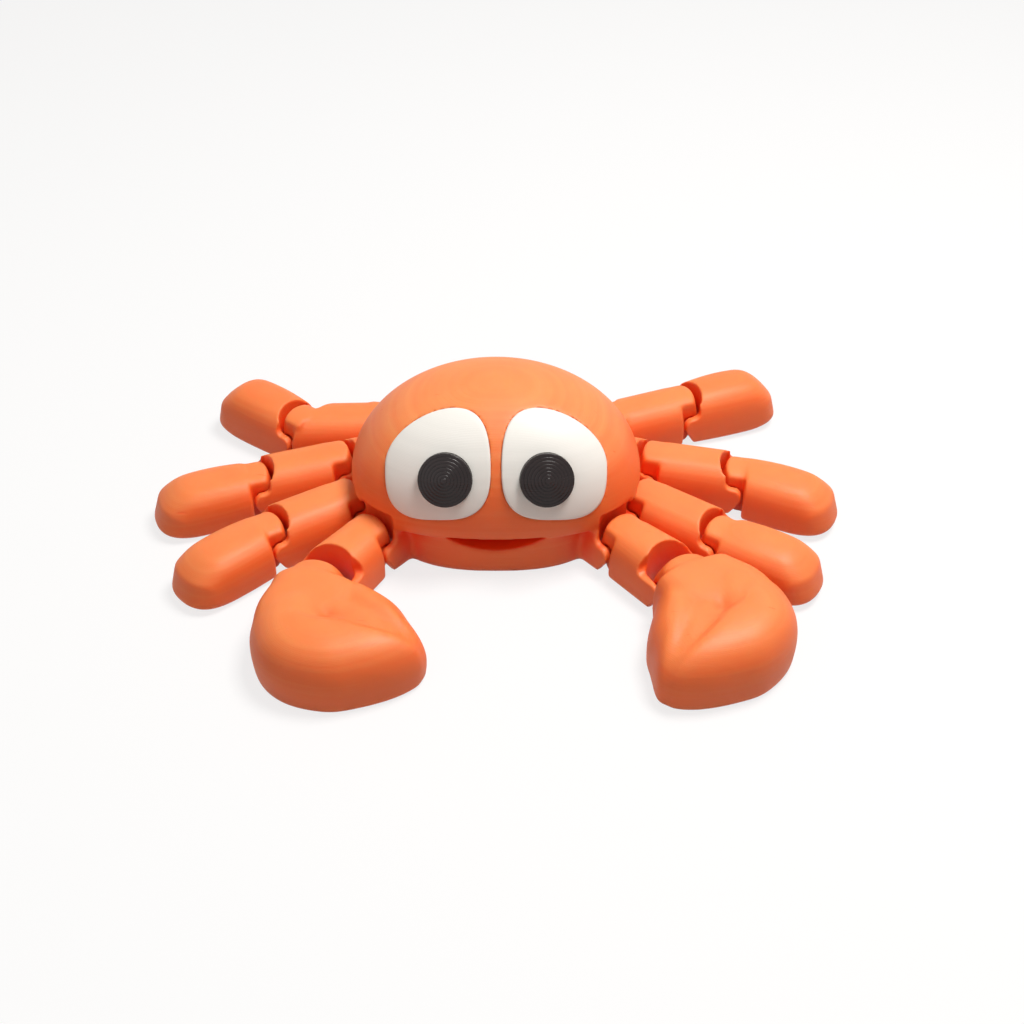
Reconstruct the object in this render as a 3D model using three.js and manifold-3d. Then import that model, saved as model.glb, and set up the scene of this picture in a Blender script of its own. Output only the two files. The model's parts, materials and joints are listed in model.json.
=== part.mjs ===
// A jointed crab toy with big eyes, printed in one go: every limb is a chain of links, and each link
// hangs on its neighbour by a loop round a bar moulded across a fork.
// Millimetres, +Z up. The face looks along -Y and the flat underside lies on Z = 0.

import * as THREE from 'three';
import { mergeVertices } from 'three/addons/utils/BufferGeometryUtils.js';
import loadManifold from 'manifold-3d';

const wasm = await loadManifold();
wasm.setup();

// Dome of the body
const DOME_WIDTH = 57.4;
const DOME_FRONT = 20;
const DOME_BACK = 24.6;
const DOME_HEIGHT = 32.4;
const DOME_FRONT_POWER = 2.7;
const WIDEST_LEVEL = 12;
const RIM_LEVEL = 9;
const RIM_DROP = 13;
const CROWN_TIP = 0.02;

// Base under the dome, with the chin in front
const BASE_WIDTH = 46.4;
const CHIN_REACH = 19;
const BASE_BACK = 20;
const BASE_FRONT_POWER = 2.5;
const BASE_FOOT_INSET = 0.6;

// Mouth: a crescent slot between the dome's rim and the chin
const MOUTH_WIDTH = 21.4;
const MOUTH_GAP = 3.1;
const MOUTH_SMILE = 0.2;
const MOUTH_DEPTH = 6;
const MOUTH_LEVEL = 9.1;

// Eyes, drawn on a plane that leans back by EYE_LEAN and has its origin at the dome's middle
const EYE_LEAN = 37.5;
const EYE_WIDTH = 19.4;
const EYE_TOP = 10.7;
const EYE_BOTTOM = 9.9;
const EYE_SPACING = 22;
const EYE_TOP_SHIFT = 3;
const EYE_BOTTOM_POWER = 3;
const EYE_PROUD = 0.5;
const EYE_THICKNESS = 3;
const EYE_CLEARANCE = 0.3;

// Pupils: domed discs in flat pockets of the eyes
const PUPIL_DIAMETER = 10.2;
const PUPIL_SPACING = 19;
const PUPIL_DROP = 2.6;
const PUPIL_POCKET = 1.2;
const PUPIL_EDGE = 0.7;
const PUPIL_CROWN = 1.3;
const PUPIL_CLEARANCE = 0.3;

// Links: a section with a flat sole, upright sides and a rounded back
const LEG_WIDTH = 12.2;
const LEG_HEIGHT = 10.6;
const LEG_TIP_LINK_HEIGHT = 9.3;
const ARM_ROOT_WIDTH = 10.8;
const ARM_WIDTH = 14.2;
const ARM_HEIGHT = 11.2;
const SIDE_SHARE = 0.32;
const BACK_POWER = 2.5;
const TIP_LENGTH = 5.4;
const TIP_POWER = 2.4;
const TIP_SLOPE = 7;
const TIP_HEIGHT = 6.4;
const TIP_DRAFT = 2;

// Joints: a bar across a fork, and a round-nosed tongue with a loop on it
const BAR_DIAMETER = 2;
const BAR_LEVEL = 4.8;
const HORN_WALL = 0.9;
const LOOP_CLEARANCE = 0.35;
const TONGUE_CLEARANCE = 0.45;
const LEG_NOSE_GAP = 0.4;
const ARM_NOSE_GAP = 1.9;
const SHOULDER_CLEARANCE = 0.4;
const DROOP_ROOM = 32;
const LEG_LIFT_ROOM = 13;
const ARM_LIFT_ROOM = 30;
const LEG_CHEEK = 1.9;
const ARM_CHEEK = 1.8;
const LEG_SLOT_REACH = 3.3;
const ARM_SLOT_REACH = 5.6;
const SLOT_ROUNDNESS = 0.62;
const STUB_LENGTH = 20;
const SWEEP_MARGIN = 1.4;

// Where each pair of limbs leaves the body, on its right side: how far the bar's centre lies beyond the
// dome's widest point, its place from front to back, and its heading from +X
const ROOTS = {
  rear: { beyond: -4.7, y: 21.6, heading: 9 },
  middle: { beyond: 3.3, y: 8, heading: -16 },
  front: { beyond: 0.6, y: -4.4, heading: -34.5 },
  arm: { beyond: -4.5, y: -15.2, heading: -49 },
};

// Lengths from bar to bar, and from bar to tip
const INNER_LENGTHS = { rear: 17.8, middle: 17.3, front: 17.3, arm: 15.2 };
const LEG_OUTER_LENGTH = 21.7;

// How far the fork of an arm is turned towards the front of the toy, in degrees
const ARM_FORK_TURN = 14;

// How far each limb is turned sideways as it lies: at its root and at its mid joint, in degrees
const POSES = {
  rear_left: { root: 10.7, mid: -39 },
  rear_right: { root: 12.5, mid: -1 },
  middle_left: { root: 3, mid: 2.9 },
  middle_right: { root: 3, mid: -13 },
  front_left: { root: -2.3, mid: 10.8 },
  front_right: { root: -2, mid: 4 },
  arm_left: { root: 7, mid: 31 },
  arm_right: { root: 1.5, mid: -4.5 },
};

// Claws: a mitten of four lobes: a broad wrist, a palm that ends in the finger, a thumb beside it,
// and a web that leaves a shallow fold between finger and thumb.
// Outlines: distance along the claw from its bar, and across it, away from the middle of the toy.
const CLAW_WIDEST_LEVEL = 4;
const CLAW_FOOT_SHARE = 0.97;
const WRIST = {
  outline: [
    [-1, -6.9], [-1, 6.9], [3, 10.2], [7.6, 12.8], [12.1, 13.2], [15.6, 9], [16.2, 2], [15.4, -3],
    [11.6, -6.5], [4.6, -7.3],
  ],
  crown: [7.1, 1.6],
  height: 12,
  power: 4,
};
const PALM = {
  outline: [
    [12.9, 3], [11.6, 6.5], [9.4, 9.8], [8.8, 12.8], [13.2, 14.4], [20, 13.2], [25.2, 9.1], [28.4, 2.2],
    [28.4, -4.1], [27.3, -10.1], [24.2, -15.1], [20.8, -16.1], [18.6, -14.3], [17.2, -11.1], [15, -7.5],
    [13.6, -4.1],
  ],
  crown: [19.1, 1.9],
  height: 13.6,
  power: 2.6,
};
const THUMB = {
  outline: [
    [5.1, -1.9], [10.6, -1.9], [14.6, -3.9], [16.6, -7.1], [18.2, -10.6], [20.4, -14.3], [19, -16.1],
    [12.2, -13.5], [6, -8.5], [3, -5.1],
  ],
  crown: [9.6, -6.6],
  height: 12.3,
  power: 2.1,
};
const WEB = {
  outline: [
    [8, -1], [13, 1], [18, -2], [21, -8], [22.4, -13.4], [20.6, -15.2], [17, -13], [12, -10], [8, -6],
  ],
  crown: [14, -5],
  height: 11.3,
  power: 2.2,
};

// Facets
const DOME_SIDES = 44;
const DOME_RINGS = 10;
const BAR_SIDES = 10;
const PUPIL_SIDES = 26;
const ARC_STEPS = 4;
const OUTLINE_STEPS = 30;
const MOUND_RINGS = 6;
const SURFACE_OVERLAP = 1;
const SEAT_TOLERANCE = 1e-4;
const MERGE_TOLERANCE = 1e-5;
const FAR = 80;

const radians = THREE.MathUtils.degToRad;
const DROOP_ANGLE = radians(DROOP_ROOM);
const BAR_RADIUS = BAR_DIAMETER / 2;
const HORN_RADIUS = BAR_RADIUS + HORN_WALL;
const SHOULDER = HORN_RADIUS + SHOULDER_CLEARANCE;

const ORANGE = { color: 0xf0743a, roughness: 0.55, metalness: 0 };
const WHITE = { color: 0xebeeeb, roughness: 0.5, metalness: 0 };
const BLACK = { color: 0x2d2126, roughness: 0.4, metalness: 0 };

// Solids

// Turns a closed geometry into a solid, with its shared corners merged.
function solid(geometry) {
  const bare = new THREE.BufferGeometry();
  bare.setAttribute('position', geometry.getAttribute('position'));
  bare.setIndex(geometry.getIndex());
  const merged = mergeVertices(bare, MERGE_TOLERANCE);
  const corners = Array.from(merged.getIndex().array);
  const triangles = [];
  for (let i = 0; i < corners.length; i += 3) {
    const [a, b, c] = corners.slice(i, i + 3);
    if (a !== b && b !== c && c !== a) triangles.push(a, b, c);
  }
  return new wasm.Manifold(new wasm.Mesh({
    numProp: 3,
    vertProperties: Float32Array.from(merged.getAttribute('position').array),
    triVerts: Uint32Array.from(triangles),
  }));
}

// Skins a row of closed rings with equal counts of points, and closes both ends with fans.
// The rings run counter-clockwise when the row comes towards the eye.
function loft(rings) {
  const sides = rings[0].length;
  const points = rings.flat();
  const index = [];
  for (let row = 0; row + 1 < rings.length; row += 1) {
    for (let i = 0; i < sides; i += 1) {
      const a = row * sides + i;
      const b = row * sides + (i + 1) % sides;
      index.push(a, b, a + sides, b, b + sides, a + sides);
    }
  }
  const lastRow = (rings.length - 1) * sides;
  const middle = (ring) => ring.reduce((sum, p) => sum.add(p), new THREE.Vector3()).divideScalar(sides);
  points.push(middle(rings[0]), middle(rings[rings.length - 1]));
  for (let i = 0; i < sides; i += 1) {
    const next = (i + 1) % sides;
    index.push(points.length - 2, next, i);
    index.push(points.length - 1, lastRow + i, lastRow + next);
  }
  const geometry = new THREE.BufferGeometry().setFromPoints(points);
  geometry.setIndex(index);
  return solid(geometry);
}

// Extrudes an outline of 2-D points, then lays it in the frame that the matrix gives.
function prism(outline, depth, matrix = new THREE.Matrix4()) {
  const geometry = new THREE.ExtrudeGeometry(new THREE.Shape(outline), { depth, bevelEnabled: false });
  geometry.applyMatrix4(matrix);
  return solid(geometry);
}

// Frame for prisms that lie across a link
const ACROSS_LINK = new THREE.Matrix4().makeRotationX(Math.PI / 2);

function centredAcross(width) {
  return new THREE.Matrix4().makeTranslation(0, width / 2, 0).multiply(ACROSS_LINK);
}

// A joint's frame on a link: its bar's place along the link, and the way its +X turns from the link's.
function jointFrame(along, turnDegrees) {
  const turn = new THREE.Matrix4().makeRotationZ(radians(turnDegrees));
  return new THREE.Matrix4().makeTranslation(along, 0, 0).multiply(turn);
}

function placed(body, matrix) {
  return body.transform(matrix.toArray());
}

function arc(cx, cy, radius, from, to, steps) {
  return Array.from({ length: steps + 1 }, (_, i) => {
    const angle = from + (to - from) * i / steps;
    return new THREE.Vector2(cx + radius * Math.cos(angle), cy + radius * Math.sin(angle));
  });
}

// Links

// A link's height at a distance from its middle line: upright sides, then a rounded back.
function backHeight(link, across) {
  const side = link.height * SIDE_SHARE;
  const share = Math.min(1, Math.abs(across) / (link.width / 2));
  return side + (link.height - side) * (1 - share ** BACK_POWER) ** (1 / BACK_POWER);
}

function sectionOutline(link) {
  const half = link.width / 2;
  const steps = 2 * ARC_STEPS;
  const back = Array.from({ length: steps + 1 }, (_, i) => {
    const across = half * Math.cos(Math.PI * i / steps);
    return new THREE.Vector2(across, backHeight(link, across));
  });
  return [new THREE.Vector2(-half, 0), new THREE.Vector2(half, 0), ...back];
}

// A plain bar of one section, or one that tapers from its root's section to its end's.
function linkBar(rootLink, endLink, from, to) {
  const ring = (link, along) => sectionOutline(link).map((p) => new THREE.Vector3(along, p.x, p.y));
  return loft([ring(rootLink, from), ring(endLink, to)]);
}

// The rounded tip: the link's plan is closed by half a superellipse, its end wall leans in by the draft,
// and its back slopes down to it.
function roundTip(bar, link, end) {
  const half = link.width / 2;
  const plan = (draft, level) => {
    const round = Array.from({ length: 2 * ARC_STEPS + 1 }, (_, i) => {
      const angle = -Math.PI / 2 + Math.PI * i / (2 * ARC_STEPS);
      const along = Math.cos(angle) ** (2 / TIP_POWER);
      const across = Math.sign(angle) * Math.abs(Math.sin(angle)) ** (2 / TIP_POWER);
      return new THREE.Vector3(end - draft - TIP_LENGTH * (1 - along), half * across, level);
    });
    return [new THREE.Vector3(-FAR, half, level), new THREE.Vector3(-FAR, -half, level), ...round];
  };
  const slope = Array.from({ length: ARC_STEPS + 1 }, (_, i) => {
    const share = i / ARC_STEPS;
    const drop = (link.height - TIP_HEIGHT) * share ** 2;
    return new THREE.Vector2(end - TIP_SLOPE * (1 - share), link.height - drop);
  }).reverse();
  const side = [
    new THREE.Vector2(-FAR, -SURFACE_OVERLAP),
    new THREE.Vector2(end + SURFACE_OVERLAP, -SURFACE_OVERLAP),
    new THREE.Vector2(end + SURFACE_OVERLAP, TIP_HEIGHT),
    ...slope,
    new THREE.Vector2(-FAR, link.height),
  ];
  const planPrism = loft([plan(0, 0), plan(TIP_DRAFT, link.height)]);
  const sidePrism = prism(side, FAR, centredAcross(FAR));
  return bar.intersect(planPrism).intersect(sidePrism);
}

// Joints, each in a frame whose X points from the fork to the tongue and whose Y is the bar

// How far the slot's hollow back lies behind the bar at a distance across it.
function slotReach(link, across) {
  const share = across / (SLOT_ROUNDNESS * link.slot);
  return link.slotReach * Math.sqrt(1 - share ** 2);
}

function barCylinder(radius, length) {
  return solid(new THREE.CylinderGeometry(radius, radius, length, BAR_SIDES)).translate([0, 0, BAR_LEVEL]);
}

// The side view of a fork's end: tangents of the horn's round that lean back by the droop and the lift.
function hornProfile(link, top) {
  const lean = (level, angle) => (HORN_RADIUS - level * Math.sin(angle)) / Math.cos(angle);
  return [
    new THREE.Vector2(lean(BAR_LEVEL + SURFACE_OVERLAP, DROOP_ANGLE), -SURFACE_OVERLAP),
    ...arc(0, BAR_LEVEL, HORN_RADIUS, -DROOP_ANGLE, link.lift, ARC_STEPS / 2),
    new THREE.Vector2(lean(top - BAR_LEVEL, link.lift), top),
  ];
}

// Shapes the end of a link into a fork: horns that taper to the bar, and a slot with a hollow back.
function makeFork(bar, link, frame) {
  const top = link.height + SURFACE_OVERLAP;
  const behind = [new THREE.Vector2(-FAR, top), new THREE.Vector2(-FAR, -SURFACE_OVERLAP)];
  const hornPrism = prism([...hornProfile(link, top), ...behind], FAR, centredAcross(FAR));
  return bar.intersect(placed(hornPrism, frame)).subtract(placed(slotPrism(link, top), frame));
}

// The room in front of a fork that a link sweeps as it lifts and droops.
function sweptRoom(link) {
  const top = link.height + SURFACE_OVERLAP;
  const far = link.height + HORN_RADIUS;
  const ends = [new THREE.Vector2(far, top), new THREE.Vector2(far, -SURFACE_OVERLAP)];
  const width = link.width + 2 * SWEEP_MARGIN;
  return prism([...hornProfile(link, top), ...ends], width, centredAcross(width));
}

function slotPrism(link, top) {
  const half = link.slot / 2;
  const hollow = Array.from({ length: 2 * ARC_STEPS + 1 }, (_, i) => {
    const across = half * Math.cos(Math.PI * i / (2 * ARC_STEPS));
    return new THREE.Vector2(-slotReach(link, across), across);
  });
  const mouth = [new THREE.Vector2(link.height, -half), new THREE.Vector2(link.height, half)];
  const sink = new THREE.Matrix4().makeTranslation(0, 0, -SURFACE_OVERLAP);
  return prism([...mouth, ...hollow], top + 2 * SURFACE_OVERLAP, sink);
}

function forkBar(link) {
  return barCylinder(BAR_RADIUS, link.slot + link.cheek);
}

// The tongue: at each distance across, a nose that clears the slot's back at every swing of the link.
function makeTongue(link) {
  const half = link.slot / 2 - TONGUE_CLEARANCE;
  const end = SHOULDER + SURFACE_OVERLAP;
  const rings = Array.from({ length: 2 * ARC_STEPS + 1 }, (_, i) => {
    const across = -half * Math.cos(Math.PI * i / (2 * ARC_STEPS));
    const nose = slotReach(link, across) - link.noseGap;
    const top = backHeight(link, across);
    const lean = (level, angle) => Math.min(end, (level * Math.sin(angle) - nose) / Math.cos(angle));
    const outline = [
      new THREE.Vector2(end, 0),
      new THREE.Vector2(end, top),
      new THREE.Vector2(lean(top - BAR_LEVEL, link.lift), top),
      ...arc(0, BAR_LEVEL, nose, Math.PI - link.lift, Math.PI + DROOP_ANGLE, ARC_STEPS / 2),
      new THREE.Vector2(lean(BAR_LEVEL, DROOP_ANGLE), 0),
    ];
    return outline.map((p) => new THREE.Vector3(p.x, across, p.y)).reverse();
  });
  return loft(rings);
}

// Hangs a link on a bar: cuts its end square to the joint, adds the tongue and opens the loop.
function makeLoop(bar, link, frame) {
  const room = link.width + 2 * SWEEP_MARGIN;
  const cutter = solid(new THREE.BoxGeometry(FAR, room, FAR)).translate([SHOULDER - FAR / 2, 0, 0]);
  const hole = barCylinder(BAR_RADIUS + LOOP_CLEARANCE, link.slot);
  const trimmed = bar.subtract(placed(cutter, frame));
  return trimmed.add(placed(makeTongue(link), frame)).subtract(placed(hole, frame));
}

// Kinds of link
const LEG = {
  width: LEG_WIDTH,
  height: LEG_HEIGHT,
  cheek: LEG_CHEEK,
  slot: LEG_WIDTH - 2 * LEG_CHEEK,
  slotReach: LEG_SLOT_REACH,
  noseGap: LEG_NOSE_GAP,
  lift: radians(LEG_LIFT_ROOM),
};
const ARM = {
  width: ARM_WIDTH,
  height: ARM_HEIGHT,
  cheek: ARM_CHEEK,
  slot: ARM_WIDTH - 2 * ARM_CHEEK,
  slotReach: ARM_SLOT_REACH,
  noseGap: ARM_NOSE_GAP,
  lift: radians(ARM_LIFT_ROOM),
};

// The outer links of the middle and front legs are a little lower than the forks that carry them
const LEG_TIP_LINK = { ...LEG, height: LEG_TIP_LINK_HEIGHT };

// Plain section where the arms leave the body
const ARM_ROOT = { width: ARM_ROOT_WIDTH, height: LEG_HEIGHT };

// Body

const DOME_MIDDLE = new THREE.Vector3(0, 0, WIDEST_LEVEL);
const DOME_RISE = DOME_HEIGHT - WIDEST_LEVEL;

// A point of a plan at an angle: an oval behind, a squarer front.
function oval(angle, halfWidth, front, back, frontPower) {
  const isFront = Math.sin(angle) < 0;
  const power = isFront ? 2 / frontPower : 1;
  const x = Math.sign(Math.cos(angle)) * Math.abs(Math.cos(angle)) ** power;
  const y = Math.sign(Math.sin(angle)) * Math.abs(Math.sin(angle)) ** power;
  return new THREE.Vector2(halfWidth * x, (isFront ? front : back) * y);
}

function domeRing(share, level, grow) {
  return Array.from({ length: DOME_SIDES }, (_, i) => {
    const angle = 2 * Math.PI * i / DOME_SIDES;
    const p = oval(angle, DOME_WIDTH / 2 + grow, DOME_FRONT + grow, DOME_BACK + grow, DOME_FRONT_POWER);
    return new THREE.Vector3(p.x * share, p.y * share, level);
  });
}

// The dome: rings from the rim up over the widest level to the crown.
function makeDome(grow) {
  const rings = [];
  const low = -Math.asin((WIDEST_LEVEL - RIM_LEVEL) / RIM_DROP);
  for (let i = 0; i < DOME_RINGS; i += 1) {
    const angle = low + (Math.PI / 2 - low) * i / DOME_RINGS;
    const rise = angle < 0 ? RIM_DROP : DOME_RISE + grow;
    rings.push(domeRing(Math.cos(angle), WIDEST_LEVEL + rise * Math.sin(angle), grow));
  }
  rings.push(domeRing(CROWN_TIP, WIDEST_LEVEL + DOME_RISE + grow, grow));
  return loft(rings);
}

// The base: an oval block, drawn in a little at its foot, that carries the dome and the chin.
function makeBase() {
  const ring = (inset, level) => Array.from({ length: DOME_SIDES }, (_, i) => {
    const angle = 2 * Math.PI * i / DOME_SIDES;
    const p = oval(angle, BASE_WIDTH / 2 - inset, CHIN_REACH - inset, BASE_BACK - inset, BASE_FRONT_POWER);
    return new THREE.Vector3(p.x, p.y, level);
  });
  return loft([ring(BASE_FOOT_INSET, 0), ring(0, 2 * BASE_FOOT_INSET), ring(0, WIDEST_LEVEL)]);
}

// The mouth: a crescent between two smiling curves, cut straight back into the front.
function makeMouth() {
  const half = MOUTH_WIDTH / 2;
  const curve = (bow, level) => Array.from({ length: 2 * ARC_STEPS + 1 }, (_, i) => {
    const across = -half + MOUTH_WIDTH * i / (2 * ARC_STEPS);
    return new THREE.Vector2(across, level + bow * ((across / half) ** 2 - 1));
  });
  const lower = curve(MOUTH_SMILE + MOUTH_GAP, MOUTH_LEVEL + MOUTH_SMILE);
  const upper = curve(MOUTH_SMILE, MOUTH_LEVEL + MOUTH_SMILE).reverse().slice(1, -1);
  const depth = DOME_FRONT - CHIN_REACH + MOUTH_DEPTH;
  const place = new THREE.Matrix4().makeTranslation(0, -CHIN_REACH + MOUTH_DEPTH, 0).multiply(ACROSS_LINK);
  return prism([...lower, ...upper], depth, place);
}

// Eyes

const LEAN_ANGLE = radians(EYE_LEAN);
const EYE_PLANE = new THREE.Matrix4().makeBasis(
  new THREE.Vector3(1, 0, 0),
  new THREE.Vector3(0, Math.sin(LEAN_ANGLE), Math.cos(LEAN_ANGLE)),
  new THREE.Vector3(0, -Math.cos(LEAN_ANGLE), Math.sin(LEAN_ANGLE)),
).setPosition(DOME_MIDDLE);

// An egg with a blunt lower end, whose top leans towards the middle of the face.
function eyeOutline(side, grow) {
  return Array.from({ length: OUTLINE_STEPS }, (_, i) => {
    const angle = 2 * Math.PI * i / OUTLINE_STEPS;
    const c = Math.cos(angle);
    const s = Math.sin(angle);
    const power = s < 0 ? 2 / EYE_BOTTOM_POWER : 1;
    const across = (EYE_WIDTH / 2 + grow) * Math.sign(c) * Math.abs(c) ** power;
    const up = ((s < 0 ? EYE_BOTTOM : EYE_TOP) + grow) * Math.sign(s) * Math.abs(s) ** power;
    const shift = s > 0 ? EYE_TOP_SHIFT * (up / EYE_TOP) ** 2 : 0;
    return new THREE.Vector2(side * (EYE_SPACING / 2 - shift) + across, up);
  });
}

function eyePrism(side, grow) {
  return prism(eyeOutline(side, grow), FAR, EYE_PLANE);
}

// How far a point lies out from the dome's middle, as a share of the way to its grown front.
function domeShare(point, grow) {
  const across = Math.abs(point.x) / (DOME_WIDTH / 2 + grow);
  const depth = Math.abs(point.y) / (DOME_FRONT + grow);
  const plan = (across ** DOME_FRONT_POWER + depth ** DOME_FRONT_POWER) ** (1 / DOME_FRONT_POWER);
  return Math.hypot(plan, (point.z - WIDEST_LEVEL) / (DOME_RISE + grow));
}

// The point of the dome that the eye plane sees at a place, found by halving, and the way it faces.
function domeSeat(across, up, grow) {
  const at = (reach) => new THREE.Vector3(across, up, reach).applyMatrix4(EYE_PLANE);
  let near = 0;
  let far = DOME_WIDTH;
  while (far - near > SEAT_TOLERANCE) {
    const middle = (near + far) / 2;
    if (domeShare(at(middle), grow) < 1) near = middle;
    else far = middle;
  }
  const point = at(near);
  const slope = (axis) => {
    const nudge = new THREE.Vector3().setComponent(axis, SEAT_TOLERANCE);
    return domeShare(point.clone().add(nudge), grow) - domeShare(point, grow);
  };
  return { point, normal: new THREE.Vector3(slope(0), slope(1), slope(2)).normalize() };
}

// Domed disc on its own axis: a flat back, a short edge and a shallow crown.
function lathedDisc(radius, back, edge, crown) {
  const rise = Array.from({ length: ARC_STEPS + 1 }, (_, i) => {
    const angle = Math.PI / 2 * i / ARC_STEPS;
    return new THREE.Vector2(radius * Math.cos(angle), edge + crown * Math.sin(angle));
  });
  rise[ARC_STEPS].x = 0;
  const profile = [new THREE.Vector2(0, -back), new THREE.Vector2(radius, -back), ...rise];
  return new THREE.LatheGeometry(profile, PUPIL_SIDES);
}

function pupilFrame(side) {
  const seat = domeSeat(side * PUPIL_SPACING / 2, -PUPIL_DROP, EYE_PROUD);
  const turn = new THREE.Quaternion().setFromUnitVectors(new THREE.Vector3(0, 1, 0), seat.normal);
  return new THREE.Matrix4().compose(seat.point, turn, new THREE.Vector3(1, 1, 1));
}

function makePupil(side) {
  const disc = lathedDisc(PUPIL_DIAMETER / 2, PUPIL_POCKET - PUPIL_CLEARANCE, PUPIL_EDGE, PUPIL_CROWN);
  disc.applyMatrix4(pupilFrame(side));
  return solid(disc);
}

function makeEyeWhite(side) {
  const shell = makeDome(EYE_PROUD).subtract(makeDome(EYE_PROUD - EYE_THICKNESS));
  const radius = PUPIL_DIAMETER / 2 + PUPIL_CLEARANCE;
  const pocket = new THREE.CylinderGeometry(radius, radius, 2 * PUPIL_POCKET, PUPIL_SIDES);
  pocket.applyMatrix4(pupilFrame(side));
  return eyePrism(side, 0).intersect(shell).subtract(solid(pocket));
}

// The recess: the eye's outline down to its back, and only above the rim.
function eyeRecess(side) {
  const behind = makeDome(EYE_PROUD - EYE_THICKNESS - EYE_CLEARANCE);
  const under = solid(new THREE.BoxGeometry(FAR, FAR, FAR)).translate([0, 0, RIM_LEVEL - FAR / 2]);
  return eyePrism(side, EYE_CLEARANCE).subtract(behind).subtract(under);
}

// Limbs

const SIDES = { left: -1, right: 1 };
const LIMBS = [];
for (const [sideName, side] of Object.entries(SIDES)) {
  for (const [place, root] of Object.entries(ROOTS)) {
    const socket = side > 0 ? root.heading : 180 - root.heading;
    const pose = POSES[`${place}_${sideName}`];
    const x = side * (DOME_WIDTH / 2 + root.beyond);
    LIMBS.push({ place, sideName, side, x, y: root.y, socket, pose });
  }
}

// The frame of a limb's root: its bar's centre on the floor, with X along the socket.
function rootFrame(limb) {
  const turn = new THREE.Matrix4().makeRotationZ(radians(limb.socket));
  return new THREE.Matrix4().makeTranslation(limb.x, limb.y, 0).multiply(turn);
}

function makeBody() {
  let body = makeDome(0).add(makeBase());
  const bar = linkBar(LEG, LEG, -STUB_LENGTH, HORN_RADIUS + SURFACE_OVERLAP);
  const stub = makeFork(bar, LEG, jointFrame(0, 0));
  for (const limb of LIMBS) body = body.add(placed(stub, rootFrame(limb)));
  for (const limb of LIMBS) {
    body = body.subtract(placed(slotPrism(LEG, LEG.height), rootFrame(limb)));
    body = body.subtract(placed(sweptRoom(LEG), rootFrame(limb)));
  }
  for (const limb of LIMBS) body = body.add(placed(forkBar(LEG), rootFrame(limb)));
  body = body.subtract(makeMouth());
  for (const side of Object.values(SIDES)) body = body.subtract(eyeRecess(side));
  return body;
}

// Inner link of a middle or front leg, or an arm: a loop at the body and a fork at the far end.
function makeInner(startLink, endLink, length, rootTurn, forkTurn) {
  const bar = linkBar(startLink, endLink, 0, length + HORN_RADIUS + SURFACE_OVERLAP);
  const looped = makeLoop(bar, LEG, jointFrame(0, -rootTurn));
  const forked = makeFork(looped, endLink, jointFrame(length, forkTurn));
  return forked.add(placed(forkBar(endLink), jointFrame(length, forkTurn)));
}

// Inner link of a rear leg: loops at both ends.
function makeRearInner(length, rootTurn, midTurn) {
  const looped = makeLoop(linkBar(LEG, LEG, 0, length), LEG, jointFrame(0, -rootTurn));
  return makeLoop(looped, LEG, jointFrame(length, 180 + midTurn));
}

function makeOuter(length, midTurn) {
  const bar = roundTip(linkBar(LEG_TIP_LINK, LEG_TIP_LINK, 0, length), LEG_TIP_LINK, length);
  return makeLoop(bar, LEG_TIP_LINK, jointFrame(0, -midTurn));
}

// Outer link of a rear leg: it carries the fork.
function makeRearOuter(length) {
  const bar = roundTip(linkBar(LEG, LEG, -HORN_RADIUS - SURFACE_OVERLAP, length), LEG, length);
  const forked = makeFork(bar, LEG, jointFrame(0, 180));
  return forked.add(placed(forkBar(LEG), jointFrame(0, 180)));
}

// A round-topped lobe of a claw: drawn in at the foot, upright at its widest, and closed at its crown.
function makeLobe(lobe, side) {
  const across = ([x, y]) => new THREE.Vector3(x, side * y, 0);
  const corners = lobe.outline.map(across);
  if (side > 0) corners.reverse();
  const curve = new THREE.CatmullRomCurve3(corners, true, 'centripetal');
  const outline = curve.getSpacedPoints(OUTLINE_STEPS).slice(0, OUTLINE_STEPS);
  const crown = across(lobe.crown);
  const ring = (share, level) => outline.map((p) => p.clone().lerp(crown, 1 - share).setZ(level));
  const rings = [ring(CLAW_FOOT_SHARE, 0)];
  for (let i = 0; i < MOUND_RINGS; i += 1) {
    const angle = Math.PI / 2 * i / MOUND_RINGS;
    const rise = Math.sin(angle) ** (2 / lobe.power);
    const level = CLAW_WIDEST_LEVEL + (lobe.height - CLAW_WIDEST_LEVEL) * rise;
    rings.push(ring(Math.cos(angle) ** (2 / lobe.power), level));
  }
  rings.push(ring(CROWN_TIP, lobe.height));
  return loft(rings);
}

function makeClaw(side, midTurn) {
  let block = makeLobe(WRIST, side);
  for (const lobe of [PALM, THUMB, WEB]) block = block.add(makeLobe(lobe, side));
  return makeLoop(block, ARM, jointFrame(0, -midTurn));
}

// Assembly

const crab = new THREE.Group();

function addNode(name, body, parent, plastic) {
  const data = body.getMesh();
  const geometry = new THREE.BufferGeometry();
  geometry.setAttribute('position', new THREE.BufferAttribute(data.vertProperties, 3));
  geometry.setIndex(new THREE.BufferAttribute(data.triVerts, 1));
  geometry.computeVertexNormals();
  const mesh = new THREE.Mesh(geometry, new THREE.MeshStandardMaterial(plastic));
  mesh.name = name;
  parent.add(mesh);
}

addNode('body', makeBody(), crab, ORANGE);
for (const [sideName, side] of Object.entries(SIDES)) {
  addNode(`eye_white_${sideName}`, makeEyeWhite(side), crab, WHITE);
  addNode(`pupil_${sideName}`, makePupil(side), crab, BLACK);
}

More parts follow.
